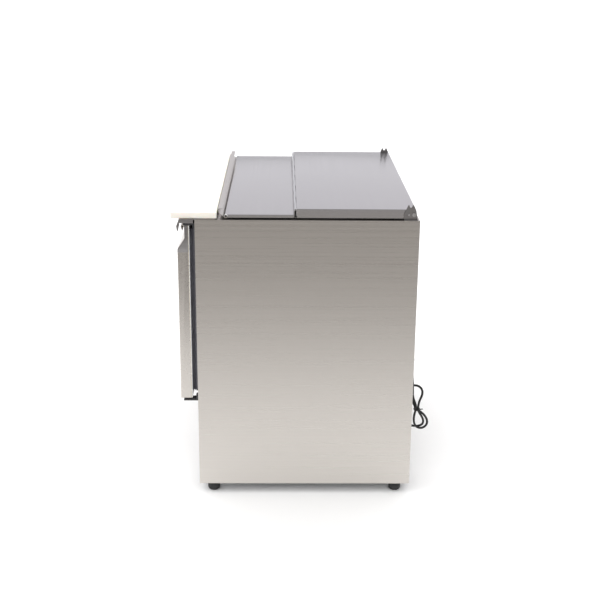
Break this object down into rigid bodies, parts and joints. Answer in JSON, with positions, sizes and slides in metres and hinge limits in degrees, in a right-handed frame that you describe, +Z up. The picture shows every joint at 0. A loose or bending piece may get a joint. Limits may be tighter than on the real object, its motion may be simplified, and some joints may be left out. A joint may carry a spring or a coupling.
{
  "type": "sandwich prep table",
  "caption": "Refrigerated steel prep table with a front cutting board, a hinged fold-back lid over food pans, and hinged doors above a machine compartment.",
  "frame": {"origin": "on the floor, under the middle of the table from the cutting board's front edge to the rear panel", "axes": "+X to the right seen from the front, +Y from the front to the rear, +Z up"},
  "size_m": [0.9, 0.77, 0.893],
  "materials": {
    "brushed_steel": "brushed",
    "bright_steel": "satin",
    "bracket_steel": "satin",
    "galvanised_steel": "spangled",
    "board_plastic": "fine grained",
    "foam": "rigid polyurethane foam",
    "liner_plastic": "smooth",
    "gasket_rubber": "ribbed",
    "black_rubber": "matte",
    "black_plastic": "moulded",
    "hinge_black": "satin paint",
    "window": "tinted gloss",
    "machine_black": "gloss paint",
    "aluminium_fins": "fin stock",
    "copper": "bare copper tube"
  },
  "bodies": {
    "cabinet": {"base_pan": "galvanised_steel", "board_brackets": "bracket_steel", "cabinet_insulation": "foam", "compressor": "machine_black", "condenser": "aluminium_fins", "control_bezel": "black_plastic", "control_box": "black_plastic", "cord_gland": "black_rubber", "cord_hank": "black_rubber", "cord_lead": "black_rubber", "cord_tie": "black_rubber", "display_window": "window", "divider_bars": "brushed_steel", "door_hinges": "hinge_black", "evap_coil": "aluminium_fins", "evap_cover": "brushed_steel", "fan_motors": "black_plastic", "front_frame": "brushed_steel", "front_rail": "brushed_steel", "full_pans": "bright_steel", "inner_liner": "brushed_steel", "lid_brackets": "bracket_steel", "louvre_panel": "brushed_steel", "panel_screws": "bright_steel", "pivot_screws": "bright_steel", "plug": "black_rubber", "rear_panel": "brushed_steel", "refrigerant_pipes": "copper", "shelf_clips": "liner_plastic", "side_panels": "brushed_steel", "sixth_pans": "bright_steel", "wire_shelves": "bright_steel", "worktop_deck": "brushed_steel"},
    "right_door": {"right_door_core": "foam", "right_door_gasket": "gasket_rubber", "right_door_lining": "liner_plastic", "right_door_skin": "brushed_steel"},
    "left_door": {"left_door_core": "foam", "left_door_gasket": "gasket_rubber", "left_door_lining": "liner_plastic", "left_door_skin": "brushed_steel"},
    "rear_lid": {"rear_lid_shell": "brushed_steel", "rear_lid_core": "foam", "rear_lid_lining": "brushed_steel", "hinge_leaf_rear": "bright_steel"},
    "front_lid": {"front_lid_shell": "brushed_steel", "lid_handle": "brushed_steel", "hinge_leaf_front": "bright_steel", "lid_bumpers": "black_rubber"},
    "cutting_board": {"cutting_board": "board_plastic"},
    "condenser_fan": {"condenser_fan": "aluminium_fins"},
    "evap_fan": {"evap_fan": "black_plastic"},
    "rocker": {"rocker_switch": "black_plastic"},
    "button_1": {"button_1": "black_plastic"},
    "button_2": {"button_2": "black_plastic"},
    "button_3": {"button_3": "black_plastic"},
    "foot_front_left": {"foot_front_left": "black_rubber"},
    "foot_front_right": {"foot_front_right": "black_rubber"},
    "foot_rear_left": {"foot_rear_left": "black_rubber"},
    "foot_rear_right": {"foot_rear_right": "black_rubber"}
  },
  "joints": [
    {"name": "right_door_hinge", "type": "hinge", "parent": "cabinet", "child": "right_door", "pos_m": [0.431, -0.306, 0.57], "axis": [0, 0, 1], "range_deg": [0, 90]},
    {"name": "left_door_hinge", "type": "hinge", "parent": "cabinet", "child": "left_door", "pos_m": [-0.431, -0.306, 0.57], "axis": [0, 0, -1], "range_deg": [0, 90]},
    {"name": "rear_lid_hinge", "type": "hinge", "parent": "cabinet", "child": "rear_lid", "pos_m": [0, 0.3325, 0.8655], "axis": [-1, 0, 0], "range_deg": [0, 95]},
    {"name": "front_lid_fold", "type": "hinge", "parent": "rear_lid", "child": "front_lid", "pos_m": [0, 0, 0.877], "axis": [-1, 0, 0], "range_deg": [0, 178]},
    {"name": "cutting_board_lift", "type": "slide", "parent": "cabinet", "child": "cutting_board", "axis": [0, 0, 1], "range_m": [0, 0.15]},
    {"name": "condenser_fan_spin", "type": "hinge", "parent": "cabinet", "child": "condenser_fan", "pos_m": [-0.15, -0.188, 0.165], "axis": [0, 1, 0], "continuous": true},
    {"name": "evap_fan_spin", "type": "hinge", "parent": "cabinet", "child": "evap_fan", "pos_m": [0, 0.274, 0.545], "axis": [0, 1, 0], "continuous": true},
    {"name": "rocker_tip", "type": "hinge", "parent": "cabinet", "child": "rocker", "pos_m": [0.393, -0.2795, 0.235], "axis": [1, 0, 0], "range_deg": [0, 12]},
    {"name": "button_1_press", "type": "slide", "parent": "cabinet", "child": "button_1", "axis": [0, 1, 0], "range_m": [0, 0.0008], "stiffness_N_per_m": 400},
    {"name": "button_2_press", "type": "slide", "parent": "cabinet", "child": "button_2", "axis": [0, 1, 0], "range_m": [0, 0.0008], "stiffness_N_per_m": 400},
    {"name": "button_3_press", "type": "slide", "parent": "cabinet", "child": "button_3", "axis": [0, 1, 0], "range_m": [0, 0.0008], "stiffness_N_per_m": 400},
    {"name": "foot_front_left_level", "type": "slide", "parent": "cabinet", "child": "foot_front_left", "axis": [0, 0, -1], "range_m": [0, 0.015]},
    {"name": "foot_front_right_level", "type": "slide", "parent": "cabinet", "child": "foot_front_right", "axis": [0, 0, -1], "range_m": [0, 0.015]},
    {"name": "foot_rear_left_level", "type": "slide", "parent": "cabinet", "child": "foot_rear_left", "axis": [0, 0, -1], "range_m": [0, 0.015]},
    {"name": "foot_rear_right_level", "type": "slide", "parent": "cabinet", "child": "foot_rear_right", "axis": [0, 0, -1], "range_m": [0, 0.015]}
  ]
}
